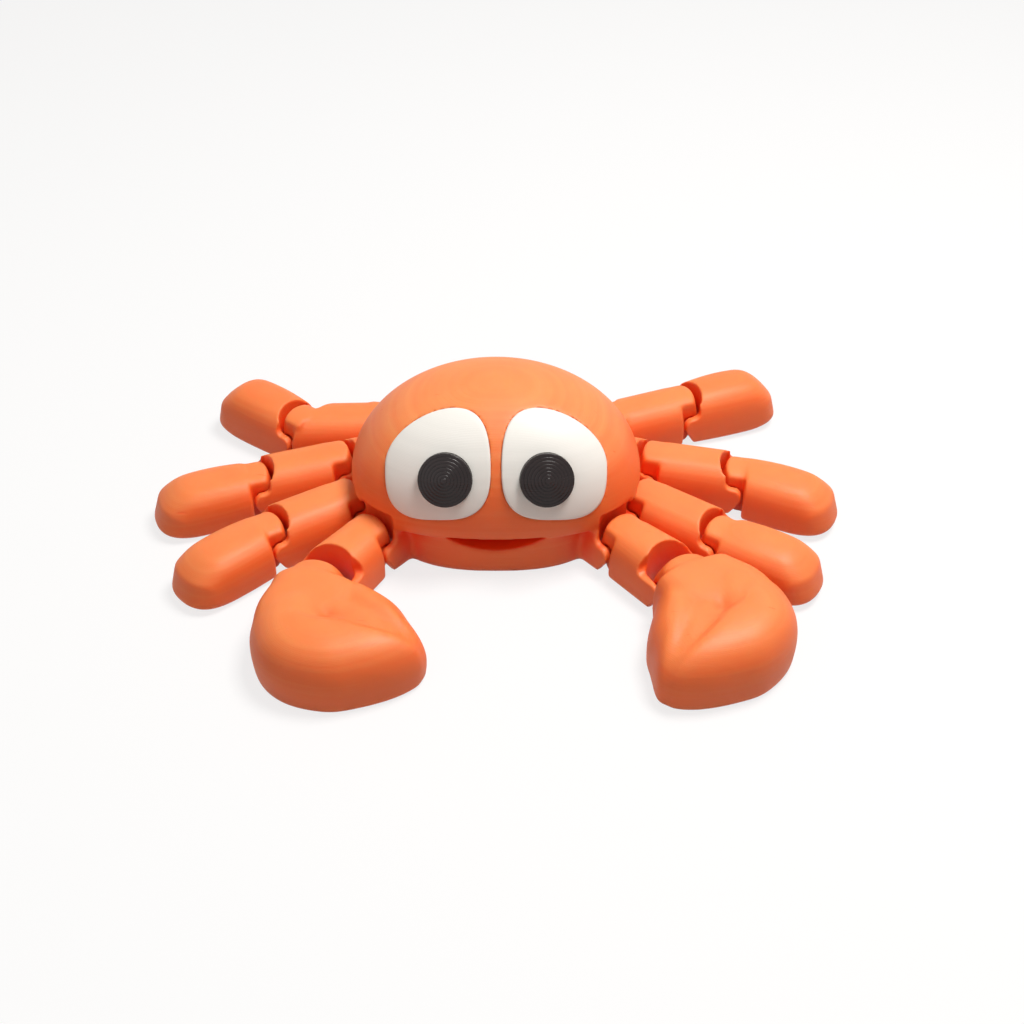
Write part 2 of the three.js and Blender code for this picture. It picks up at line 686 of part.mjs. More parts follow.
for (const limb of LIMBS) {
  const { root, mid } = limb.pose;
  const isRear = limb.place === 'rear';
  const isArm = limb.place === 'arm';
  const length = INNER_LENGTHS[limb.place];
  const forkTurn = isArm ? -limb.side * ARM_FORK_TURN : 0;

  const rootGroup = new THREE.Group();
  rootGroup.position.set(limb.x, limb.y, 0);
  rootGroup.rotation.z = radians(limb.socket + root);
  const midGroup = new THREE.Group();
  midGroup.position.x = length;
  midGroup.rotation.z = radians(forkTurn + mid);
  rootGroup.add(midGroup);
  crab.add(rootGroup);

  let inner = makeInner(isArm ? ARM_ROOT : LEG, isArm ? ARM : LEG, length, root, forkTurn);
  if (isRear) inner = makeRearInner(length, root, mid);
  let outer = isArm ? makeClaw(limb.side, mid) : makeOuter(LEG_OUTER_LENGTH, mid);
  if (isRear) outer = makeRearOuter(LEG_OUTER_LENGTH);
  const innerName = isArm ? `arm_${limb.sideName}` : `leg_${limb.place}_${limb.sideName}_inner`;
  const outerName = isArm ? `claw_${limb.sideName}` : `leg_${limb.place}_${limb.sideName}_outer`;
  addNode(innerName, inner, rootGroup, ORANGE);
  addNode(outerName, outer, midGroup, ORANGE);
}

export default crab;
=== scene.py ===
import json

import bmesh
import bpy
import numpy as np
from mathutils import Matrix, Vector

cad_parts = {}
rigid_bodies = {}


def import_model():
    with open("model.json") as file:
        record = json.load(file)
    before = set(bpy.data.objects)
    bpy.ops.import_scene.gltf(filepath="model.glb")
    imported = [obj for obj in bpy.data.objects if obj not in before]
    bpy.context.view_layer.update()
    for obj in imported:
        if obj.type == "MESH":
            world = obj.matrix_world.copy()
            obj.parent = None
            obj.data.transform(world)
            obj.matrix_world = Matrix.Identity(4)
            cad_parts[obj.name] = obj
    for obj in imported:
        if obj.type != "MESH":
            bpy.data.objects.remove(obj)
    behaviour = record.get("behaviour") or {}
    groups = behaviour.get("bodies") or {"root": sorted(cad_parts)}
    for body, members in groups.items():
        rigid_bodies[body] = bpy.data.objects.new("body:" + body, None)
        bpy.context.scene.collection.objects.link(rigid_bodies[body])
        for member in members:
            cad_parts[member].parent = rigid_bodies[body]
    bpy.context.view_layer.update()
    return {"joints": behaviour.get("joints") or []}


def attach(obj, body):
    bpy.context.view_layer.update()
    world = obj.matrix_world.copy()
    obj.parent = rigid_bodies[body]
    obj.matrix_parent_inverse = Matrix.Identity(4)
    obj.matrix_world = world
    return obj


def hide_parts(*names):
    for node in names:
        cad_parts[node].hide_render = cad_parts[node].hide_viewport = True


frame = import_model()

# The view and the light: a white table, a soft lamp above to the right, a wide one in front to the left, and
# an even warm sky that looks white. The camera looks down at the face from where the photographer stood.
MM = 0.001
IMAGE_SIDE = 1024
SENSOR = 36.0
ELEVATION = np.radians(37.7)
DISTANCE = 295 * MM
AIM = Vector((0, 0, 12 * MM))
AIM_PIXEL = (496.0, 465.7)
FOCAL_PIXELS = 1475
NEAREST_SEEN = 10 * MM

scene = bpy.context.scene
scene.view_settings.view_transform = "Standard"

camera_data = bpy.data.cameras.new("camera")
camera_data.sensor_width = SENSOR
camera_data.lens = FOCAL_PIXELS / IMAGE_SIDE * SENSOR
camera_data.shift_x = 0.5 - AIM_PIXEL[0] / IMAGE_SIDE
camera_data.shift_y = AIM_PIXEL[1] / IMAGE_SIDE - 0.5
camera_data.clip_start = NEAREST_SEEN
camera = bpy.data.objects.new("camera", camera_data)
camera.location = AIM + DISTANCE * Vector((0, -np.cos(ELEVATION), np.sin(ELEVATION)))
camera.rotation_euler = (np.pi / 2 - ELEVATION, 0, 0)
scene.collection.objects.link(camera)
scene.camera = camera


class Signal:
    """A node's output, whose sums, differences, products and quotients add Math nodes to its tree."""

    def __init__(self, socket):
        self.socket = socket

    def node(self, kind, settings, inputs, output=0):
        """Adds a node, makes its settings, fills or links its sockets, and gives one of its outputs."""
        tree = self.socket.id_data
        made = tree.nodes.new(kind)
        for key, value in settings.items():
            setattr(made, key, value)
        for key, value in inputs.items():
            if isinstance(value, Signal):
                tree.links.new(value.socket, made.inputs[key])
            else:
                made.inputs[key].default_value = value
        return Signal(made.outputs[output])

    def math(self, operation, *values):
        """Adds a Math node for an operation on values or other outputs."""
        return self.node("ShaderNodeMath", {"operation": operation}, dict(enumerate(values)))

    def __add__(self, other):
        return self.math("ADD", self, other)

    def __radd__(self, other):
        return self.math("ADD", other, self)

    def __sub__(self, other):
        return self.math("SUBTRACT", self, other)

    def __rsub__(self, other):
        return self.math("SUBTRACT", other, self)

    def __mul__(self, other):
        return self.math("MULTIPLY", self, other)

    def __rmul__(self, other):
        return self.math("MULTIPLY", other, self)

    def __truediv__(self, other):
        return self.math("DIVIDE", self, other)

    def __rtruediv__(self, other):
        return self.math("DIVIDE", other, self)


def new_material(name):
    """An empty node material, with a Signal of its coordinates and its output node."""
    material = bpy.data.materials.new(name)
    material.use_nodes = True
    tree = material.node_tree
    tree.nodes.clear()
    output = tree.nodes.new("ShaderNodeOutputMaterial")
    place = Signal(tree.nodes.new("ShaderNodeTexCoord").outputs["Object"])
    return material, place, output


def ray_seen(tree):
    """In a node tree: 1 for a ray from the camera, also by way of a mirror or a clear piece, and else 0."""
    rays = tree.nodes.new("ShaderNodeLightPath").outputs
    kinds = ("Is Camera Ray", "Is Glossy Ray", "Is Transmission Ray")
    straight, mirrored, through = (Signal(rays[kind]) for kind in kinds)
    return straight.math("MAXIMUM", straight.math("MAXIMUM", straight, mirrored), through)


def mix_colour(share, first, second):
    """A colour between two, by the share of the second. A Mix node has its colours at sockets 6 and 7."""
    return share.node("ShaderNodeMix", {"data_type": "RGBA"}, {0: share, 6: first, 7: second}, 2)


TABLE_SIZE = 12.0
TABLE_SEEN = (0.9, 0.9, 0.9, 1)
TABLE_DIM = (0.5, 0.5, 0.5, 1)
TABLE_GLOW = 0.78
WHITE_LIGHT = (1, 1, 1, 1)

table_mesh = bpy.data.meshes.new("table")
reach = TABLE_SIZE / 2
corners = [(-reach, -reach, 0), (reach, -reach, 0), (reach, reach, 0), (-reach, reach, 0)]
table_mesh.from_pydata(corners, [], [(0, 1, 2, 3)])
table = bpy.data.objects.new("table", table_mesh)
scene.collection.objects.link(table)
material, place, output = new_material("pale_table")
seen = ray_seen(material.node_tree)
paper = seen.node("ShaderNodeBsdfDiffuse", {}, {"Color": mix_colour(seen, TABLE_DIM, TABLE_SEEN)})
glow = seen.node("ShaderNodeEmission", {}, {"Color": WHITE_LIGHT, "Strength": 1.0})
mixed = seen.node("ShaderNodeMixShader", {}, {0: seen * TABLE_GLOW, 1: paper, 2: glow})
material.node_tree.links.new(mixed.socket, output.inputs["Surface"])
table_mesh.materials.append(material)

SKY_COLOUR = (1.0, 0.92, 0.84, 1)
SKY_LIGHT = 0.25
SKY_SEEN = 0.92

world = bpy.data.worlds.new("pale_sky")
scene.world = world
world.use_nodes = True
tree = world.node_tree
tree.nodes.clear()
seen = ray_seen(tree)
light = seen.node("ShaderNodeBackground", {}, {"Color": SKY_COLOUR, "Strength": SKY_LIGHT})
backdrop = seen.node("ShaderNodeBackground", {}, {"Color": WHITE_LIGHT, "Strength": SKY_SEEN})
sky = seen.node("ShaderNodeMixShader", {}, {0: seen, 1: light, 2: backdrop})
tree.links.new(sky.socket, tree.nodes.new("ShaderNodeOutputWorld").inputs["Surface"])

KEY_LAMP = {"place": (0.15, 0.03, 0.46), "width": 0.16, "power": 2.25, "colour": (1.0, 0.97, 0.94)}
FILL_LAMP = {"place": (-0.4, -0.5, 0.45), "width": 0.5, "power": 0.55, "colour": (0.95, 0.97, 1.0)}


def softbox(name, place, width, power, colour):
    """A square area lamp that faces the middle of the toy."""
    data = bpy.data.lights.new(name, "AREA")
    data.size = width
    data.energy = power
    data.color = colour
    lamp = bpy.data.objects.new(name, data)
    lamp.location = place
    lamp.rotation_euler = (AIM - Vector(place)).to_track_quat("-Z", "Y").to_euler()
    scene.collection.objects.link(lamp)


softbox("key_lamp", **KEY_LAMP)
softbox("fill_lamp", **FILL_LAMP)

# The body: a rounded dome over an oval base with a chin, and eight forked sockets round it.
# It is one print in orange plastic, laid down in thin layers from the table up.
# Its forms are joined and softened, the joints, mouth and eye recesses are cut, and its edges are worn.
DOME_HALF_WIDTH = 28.7
DOME_FRONT = 20.0
DOME_BACK = 24.6
DOME_FRONT_POWER = 2.7
WIDEST_LEVEL = 12.0
DOME_RISE = 20.4
RIM_LEVEL = 9.0
RIM_DROP = 13.0
CROWN_TIP = 0.004
BASE_HALF_WIDTH = 23.2
CHIN_REACH = 19.0
BASE_BACK = 20.0
BASE_FRONT_POWER = 2.5
FOOT_INSET = 0.6
MOUTH_HALF = 10.7
MOUTH_GAP = 3.1
MOUTH_SMILE = 0.2
MOUTH_DEPTH = 6.0
MOUTH_LEVEL = 9.1
EYE_LEAN = np.radians(37.5)
EYE_HALF_WIDTH = 9.7
EYE_TOP = 10.7
EYE_BOTTOM = 9.9
EYE_OFFSET = 11.0
EYE_TOP_SHIFT = 3.0
EYE_BOTTOM_POWER = 3.0
EYE_PROUD = 0.5
EYE_SEAM = 0.12
RECESS_DEPTH = 1.6
RECESS_SHARES = (0.02, 0.25, 0.5, 0.75, 1.0)
RECESS_TOP = 3.0
HALVINGS = 40
LEG = {
    "half": 6.1, "height": 10.6, "cheek": 1.9, "reach": 3.3, "nose_gap": 0.4,
    "lift": np.radians(13), "scoop": 1.6,
}
SIDE_SHARE = 0.32
BACK_POWER = 2.5
SOLE_TUCK = 0.6
SOLE_POWER = 6.0
BAR_RADIUS = 1.0
BAR_LEVEL = 4.8
HORN_RADIUS = 1.9
SCOOP_ROUND = 1.4
DROOP = np.radians(32)
SLOT_ROUNDNESS = 0.62
STUB_LENGTH = 20.0
REAR_STUB_LENGTH = 25.5
ROUND_OFF = 3.0
SWEEP_MARGIN = 1.4
OVERLAP = 1.0
FAR = 80.0
WEAR = 0.5
BODY_GRAIN = 0.38
BODY_ROUNDS = 5
BODY_SOFTNESS = 14
SHARP_EDGE = np.radians(50)


def form(points, faces):
    """A closed form as an object, with its faces turned outwards."""
    mesh = bpy.data.meshes.new("form")
    mesh.from_pydata(points.reshape(-1, 3).tolist(), [], faces)
    shape = bmesh.new()
    shape.from_mesh(mesh)
    if shape.calc_volume(signed=True) < 0:
        bmesh.ops.reverse_faces(shape, faces=shape.faces)
        shape.to_mesh(mesh)
    shape.free()
    made = bpy.data.objects.new("form", mesh)
    scene.collection.objects.link(made)
    return made


def skin(rings):
    """Closed surface through a row of rings: quads join neighbours, and one face closes each end."""
    rows, sides = rings.shape[:2]
    row, side = np.mgrid[0:rows - 1, 0:sides]
    here = row * sides + side
    beside = row * sides + (side + 1) % sides
    quads = np.stack([here, beside, beside + sides, here + sides], axis=-1).reshape(-1, 4).tolist()
    first = np.arange(sides)
    ends = [first[::-1].tolist(), (first + (rows - 1) * sides).tolist()]
    return form(rings, quads + ends)


def slab(top, sole):
    """Closed surface between two sheets on the same grid: a strip of wall joins their borders."""
    rows, columns = top.shape[:2]
    index = np.arange(rows * columns).reshape(rows, columns)
    upper = np.stack([index[:-1, :-1], index[1:, :-1], index[1:, 1:], index[:-1, 1:]], axis=-1).reshape(-1, 4)
    lower = upper[:, ::-1] + rows * columns
    border = np.concatenate([index[:-1, 0], index[-1, :-1], index[:0:-1, -1], index[0, :0:-1]])
    after = np.roll(border, -1)
    wall = np.stack([border, border + rows * columns, after + rows * columns, after], axis=-1)
    return form(np.concatenate([top, sole]), np.concatenate([upper, lower, wall]).tolist())


def even_skin(piece, grain, rounds):
    """An even skin of faces as small as the grain, and rounds of smoothing that wear its edges."""
    even = piece.modifiers.new("even_skin", "REMESH")
    even.mode = "VOXEL"
    even.voxel_size = grain
    worn = piece.modifiers.new("worn_edges", "SMOOTH")
    worn.factor = WEAR
    worn.iterations = rounds


def join_and_cut(piece, steps):
    """Joins forms to a piece, or cuts them from it, in turn."""
    for operation, other in steps:
        change = piece.modifiers.new(operation, "BOOLEAN")
        change.operation = operation
        change.solver = "MANIFOLD"
        change.object = other


def printed(name, first, steps, grain=0, rounds=0, shape=(), softness=0):
    """One closed print: the steps of its shape join forms to the first or cut them away, and it is softened;
    then come the steps of its joints, and a little wear, unless it has no grain and keeps its edges."""
    join_and_cut(first, shape)
    if softness:
        even_skin(first, grain, softness)
    join_and_cut(first, steps)
    if grain:
        even_skin(first, grain, rounds)
    shaped = first.evaluated_get(bpy.context.evaluated_depsgraph_get())
    mesh = bpy.data.meshes.new_from_object(shaped)
    mesh.transform(Matrix.Scale(MM, 4))
    mesh.shade_smooth()
    mesh.set_sharp_from_angle(angle=SHARP_EDGE)
    mesh.name = name
    for used in [first] + [other for _, other in [*shape, *steps]]:
        bpy.data.objects.remove(used)
    piece = bpy.data.objects.new(name, mesh)
    scene.collection.objects.link(piece)
    return piece


def placed(rings, x, y, heading):
    """Rings turned about the upright axis and moved over the table."""
    cosine, sine = np.cos(heading), np.sin(heading)
    return rings @ np.array([[cosine, sine, 0], [-sine, cosine, 0], [0, 0, 1]]) + np.array([x, y, 0])


def oval(half_width, front, back, front_power, sides):
    """A plan that is an ellipse behind and a superellipse in front."""
    angle = np.linspace(0, 2 * np.pi, sides, endpoint=False)
    cosine, sine = np.cos(angle), np.sin(angle)
    power = np.where(sine < 0, 2 / front_power, 1)
    x = half_width * np.sign(cosine) * np.abs(cosine) ** power
    y = np.where(sine < 0, front, back) * np.sign(sine) * np.abs(sine) ** power
    return x, y


def dome_rings(sides=240, rows=72):
    """Rings from the rim up to the crown: the plan scaled by the cosine of an angle that rises from
    below the widest level to a right angle, at a level that follows its sine."""
    x, y = oval(DOME_HALF_WIDTH, DOME_FRONT, DOME_BACK, DOME_FRONT_POWER, sides)
    low = -np.arcsin((WIDEST_LEVEL - RIM_LEVEL) / RIM_DROP)
    climb = np.linspace(low, np.pi / 2, rows)[:, None]
    share = np.maximum(np.cos(climb), CROWN_TIP)
    level = WIDEST_LEVEL + np.where(climb < 0, RIM_DROP, DOME_RISE) * np.sin(climb)
    return np.stack([x * share, y * share, level + 0 * x], axis=-1)


def base_rings(sides=160):
    """Rings of an oval block: a small steep bevel at the foot, then straight up into the dome."""
    rings = []
    for inset, level in ((FOOT_INSET, 0), (0, 2 * FOOT_INSET), (0, WIDEST_LEVEL)):
        x, y = oval(BASE_HALF_WIDTH - inset, CHIN_REACH - inset, BASE_BACK - inset, BASE_FRONT_POWER, sides)
        rings.append(np.stack([x, y, np.full(sides, level)], axis=-1))
    return np.stack(rings)


def prism_rings(outline, start, end, axis):
    """Two copies of an outline in a plane, at the start and end of a straight run along an axis."""
    rings = np.zeros((2, len(outline), 3))
    others = [(1, 2), (2, 0), (0, 1)][axis]
    rings[:, :, others[0]] = outline[:, 0]
    rings[:, :, others[1]] = outline[:, 1]
    rings[:, :, axis] = np.array([[start], [end]])
    return rings


def arc(x, y, radius, start, end, steps):
    """Points of a circle's arc between two angles."""
    angle = np.linspace(start, end, steps)
    return np.stack([x + radius * np.cos(angle), y + radius * np.sin(angle)], axis=-1)


def back_height(link, across):
    """Height of a link's section at a distance from its middle: upright sides, then half a superellipse."""
    share = np.minimum(1, np.abs(across) / link["half"])
    return link["height"] * (SIDE_SHARE + (1 - SIDE_SHARE) * (1 - share ** BACK_POWER) ** (1 / BACK_POWER))


def section(steps=57):
    """Round a link: places across it as shares of its half width, the rise of its back as half a
    superellipse, and the share of that rise by which the edges of its sole are tucked up."""
    turn = np.linspace(np.pi, 0, steps)
    across = np.sign(np.cos(turn)) * np.abs(np.cos(turn)) ** (2 / BACK_POWER)
    rise = SIDE_SHARE + (1 - SIDE_SHARE) * np.sin(turn) ** (2 / BACK_POWER)
    tuck = SOLE_TUCK * (1 - (1 - np.abs(across) ** SOLE_POWER) ** (1 / SOLE_POWER))
    return across, rise, tuck


def link_bar(run, half, height, where):
    """A bar with a rounded back and a sole with rounded edges, with a width and height at each station."""
    across, rise, tuck = section()
    along = np.broadcast_to(run[:, None], (len(run), len(across)))
    top = np.stack([along, half[:, None] * across, height[:, None] * rise], axis=-1)
    sole = np.stack([top[..., 0], top[..., 1], top[..., 2] * tuck], axis=-1)
    return slab(placed(top, *where), placed(sole, *where))


def slot_reach(link, across):
    """How far the hollow back of a fork's slot lies behind its bar: an ellipse across the slot."""
    share = across / (SLOT_ROUNDNESS * 2 * (link["half"] - link["cheek"]))
    return link["reach"] * np.sqrt(1 - share ** 2)


def slot_rings(link, top, steps=41):
    """The slot of a fork, drawn in plan and carried upwards: open in front, hollow at its back."""
    half = link["half"] - link["cheek"]
    across = half * np.cos(np.linspace(0, np.pi, steps))
    hollow = np.stack([-slot_reach(link, across), across], axis=-1)
    mouth = np.array([[link["height"], -half], [link["height"], half]])
    return prism_rings(np.concatenate([mouth, hollow]), -OVERLAP, top + OVERLAP, 2)


def horn_edge(link, top, lip_steps=17, scoop_steps=9):
    """Side view of a fork's end: a lip rounded about the bar and leaning below it, then a scoop that runs
    back over the bar and curves up to the link's back."""
    lean = (HORN_RADIUS - (BAR_LEVEL + OVERLAP) * np.sin(DROOP)) / np.cos(DROOP)
    back, lip = -link["scoop"], BAR_LEVEL + HORN_RADIUS
    return np.concatenate([
        [[lean, -OVERLAP]],
        arc(0, BAR_LEVEL, HORN_RADIUS, -DROOP, np.pi / 2, lip_steps),
        arc(back + SCOOP_ROUND, lip + SCOOP_ROUND, SCOOP_ROUND, -np.pi / 2, -np.pi, scoop_steps),
        [[back, top]],
    ])


def across_prism(outline, width):
    """A side view carried across a link, from one side to the other."""
    return prism_rings(outline[:, ::-1], -width / 2, width / 2, 1)


def horn_rings(link):
    """Everything behind a fork's end, as wide as needed."""
    top = link["height"] + OVERLAP
    outline = np.concatenate([[[-FAR, -OVERLAP]], horn_edge(link, top), [[-FAR, top]]])
    return across_prism(outline, FAR)


def swept_rings(link):
    """The room in front of a fork that its link sweeps as it lifts and droops."""
    top = link["height"] + OVERLAP
    far = link["height"] + HORN_RADIUS
    outline = np.concatenate([horn_edge(link, top), [[far, top], [far, -OVERLAP]]])
    return across_prism(outline, 2 * (link["half"] + SWEEP_MARGIN))


def bar_rings(radius, length, sides=32):
    """A round bar across a joint, at the bar's level."""
    return across_prism(arc(0, BAR_LEVEL, radius, 0, 2 * np.pi, sides + 1)[:-1], length)


def fork_steps(link, where):
    """Makes the end of a link a fork with a bar: the horns' ends, the slot and the bar, at a place."""
    return [
        ("INTERSECT", skin(placed(horn_rings(link), *where))),
        ("DIFFERENCE", skin(placed(slot_rings(link, link["height"] + OVERLAP), *where))),
        ("UNION", skin(placed(bar_rings(BAR_RADIUS, 2 * link["half"] - link["cheek"]), *where))),
    ]


def mouth_rings(steps=49):
    """A crescent between two smiling parabolas, carried straight back into the front."""
    across = np.linspace(-MOUTH_HALF, MOUTH_HALF, steps)
    bow = (across / MOUTH_HALF) ** 2 - 1
    level = MOUTH_LEVEL + MOUTH_SMILE
    lower = np.stack([level + (MOUTH_SMILE + MOUTH_GAP) * bow, across], axis=-1)
    upper = np.stack([level + MOUTH_SMILE * bow, across], axis=-1)[::-1][1:-1]
    return prism_rings(np.concatenate([lower, upper]), -DOME_FRONT - OVERLAP, MOUTH_DEPTH - CHIN_REACH, 1)


def eye_outline(side, grow, steps=120):
    """An egg on the eye plane: blunt below, and its top leans towards the middle of the face."""
    angle = np.linspace(0, 2 * np.pi, steps, endpoint=False)
    cosine, sine = np.cos(angle), np.sin(angle)
    power = np.where(sine < 0, 2 / EYE_BOTTOM_POWER, 1)
    across = (EYE_HALF_WIDTH + grow) * np.sign(cosine) * np.abs(cosine) ** power
    up = np.where(sine < 0, EYE_BOTTOM + grow, EYE_TOP + grow) * np.sign(sine) * np.abs(sine) ** power
    shift = np.where(sine > 0, EYE_TOP_SHIFT * (up / EYE_TOP) ** 2, 0)
    return np.stack([side * (EYE_OFFSET - shift) + across, up], axis=-1)


EYE_AXES = np.array([
    [1, 0, 0],
    [0, np.sin(EYE_LEAN), np.cos(EYE_LEAN)],
    [0, -np.cos(EYE_LEAN), np.sin(EYE_LEAN)],
])


def on_dome(flat, grow):
    """Points of the eye plane carried out along its normal to the grown dome, found by halving."""
    near = np.zeros(flat.shape[:-1])
    far = np.full(flat.shape[:-1], 2 * DOME_HALF_WIDTH)
    for _ in range(HALVINGS):
        reach = (near + far) / 2
        point = np.concatenate([flat, reach[..., None]], axis=-1) @ EYE_AXES
        plan = (np.abs(point[..., 0]) / (DOME_HALF_WIDTH + grow)) ** DOME_FRONT_POWER
        plan = plan + (np.abs(point[..., 1]) / (DOME_FRONT + grow)) ** DOME_FRONT_POWER
        inside = np.hypot(plan ** (1 / DOME_FRONT_POWER), point[..., 2] / (DOME_RISE + grow)) < 1
        near = np.where(inside, reach, near)
        far = np.where(inside, far, reach)
    return point + np.array([0, 0, WIDEST_LEVEL])


def eye_recess_rings(side):
    """The eye's outline, grown by a seam, carried from a little under the dome's skin to well outside."""
    outline = eye_outline(side, EYE_SEAM)
    middle = outline.mean(axis=0)
    shares = np.array(RECESS_SHARES)[:, None, None]
    floor = on_dome(middle + (outline - middle) * shares, -RECESS_DEPTH)
    lid = on_dome(middle + (outline - middle) * shares[[-1, 0]], RECESS_TOP)
    return np.concatenate([floor, lid])


def joint_place(joint):
    """A joint's place on the table and the heading of its fork, which is square to its bar."""
    x, y, _ = joint["pos_m"]
    return x / MM, y / MM, np.arctan2(joint["axis"][0], -joint["axis"][1])


shape = [("UNION", skin(base_rings()))]
cuts = []
bars = []
roots = [joint for joint in frame["joints"] if joint["parent"] == "body"]
for joint in roots:
    where = joint_place(joint)
    inward = REAR_STUB_LENGTH if "rear" in joint["child"] else STUB_LENGTH
    run = np.array([-inward, HORN_RADIUS + ROUND_OFF])
    shape.append(("UNION", link_bar(run, np.full(2, LEG["half"]), np.full(2, LEG["height"]), where)))
    cuts.append(("DIFFERENCE", skin(placed(slot_rings(LEG, LEG["height"] + OVERLAP), *where))))
    cuts.append(("DIFFERENCE", skin(placed(swept_rings(LEG), *where))))
    bars.append(("UNION", skin(placed(bar_rings(BAR_RADIUS, 2 * LEG["half"] - LEG["cheek"]), *where))))
face = [mouth_rings(), eye_recess_rings(-1), eye_recess_rings(1)]
steps = cuts + bars + [("DIFFERENCE", skin(rings)) for rings in face]
body = printed("crab_body", skin(dome_rings()), steps, BODY_GRAIN, BODY_ROUNDS, shape, BODY_SOFTNESS)

LAYER = 0.2 * MM
RELIEF_DEPTH = 0.12 * MM
TERRACED = (0.72, 0.97)
# Painted top light: the range of facing up over which a surface is painted paler, as if lit from above.
PAINTED_TOP_LIGHT_RANGE = (0.3, 1.0)
STREAK_CELLS = (25, 25, 1400)
STREAK_DETAIL = 3.0
BAND_CELLS = (9, 9, 380)
BAND_DETAIL = 2.0
CLOUD_CELLS = (90, 90, 90)
CLOUD_DETAIL = 4.0
SCUFF_CELLS = (420, 420, 420)
SCUFF_DETAIL = 5.0
SCUFF_COARSENESS = 0.7
SCUFFED = (0.64, 0.78)
SCAR_CELLS = (120, 900, 500)
SCAR_DETAIL = 2.0
SCAR_TURN = 0.6
SCARRED = (0.72, 0.8)
NOISE_MIDDLE = 0.5
# The back entry is painted top light on surfaces that face up; the other entries are random tone, scuffs and
# scars.
TONE_AND_TOP_LIGHT = {"back": 0.8, "streak": 0.7, "band": 0.7, "cloud": 0.5, "scuff": 0.25, "scar": 0.5}
RELIEF = {"bead": 0.35, "terrace": 0.6, "streak": 0.8, "scuff": 0.15, "scar": 0.6}
GLOSS = {"smooth": 0.08, "streak": 0.12, "scuff": 0.12}
# Painted shade and bounced light in hollows: how far and with how many rays hollows are found, and the
# openness over which the colour deepens.
HOLLOW_SHADE_REACH = 8 * MM
HOLLOW_SHADE_RAYS = 8
HOLLOW_SHADE_RANGE = (0.96, 0.68)
LIGHT_REACH = 1.6 * MM
LIGHT_SPREAD = (1.0, 0.3, 0.08)
# Orange in painted shade and bounced light for hollows, the plastic's own orange, and a paler orange for
# painted top light and random tone.
ORANGE_HOLLOW_SHADE = (0.95, 0.065, 0.004, 1)
ORANGE = (0.93, 0.16, 0.03, 1)
ORANGE_LIT_AND_PALE = (0.98, 0.31, 0.1, 1)
ORANGE_FINISH = {"roughness": 0.5, "subsurface": 0.3}


def dot(vector, direction):
    """How far a vector goes along a direction."""
    sockets = {0: vector, 1: direction}
    return vector.node("ShaderNodeVectorMath", {"operation": "DOT_PRODUCT"}, sockets, "Value")


def ramp(value, ends):
    """Goes smoothly from 0 to 1 as a value goes from one end to the other."""
    sockets = {0: value, 1: ends[0], 2: ends[1]}
    return value.node("ShaderNodeMapRange", {"interpolation_type": "SMOOTHSTEP"}, sockets)


def noise(place, cells, detail, coarseness=0.5, turn=0.0):
    """Noise with so many cells to the metre along each axis, turned about the upright one."""
    spread = place.node("ShaderNodeMapping", {}, {"Vector": place, "Rotation": (0, 0, turn), "Scale": cells})
    sockets = {"Vector": spread, "Scale": 1.0, "Detail": detail, "Roughness": coarseness}
    return spread.node("ShaderNodeTexNoise", {}, sockets, "Fac")


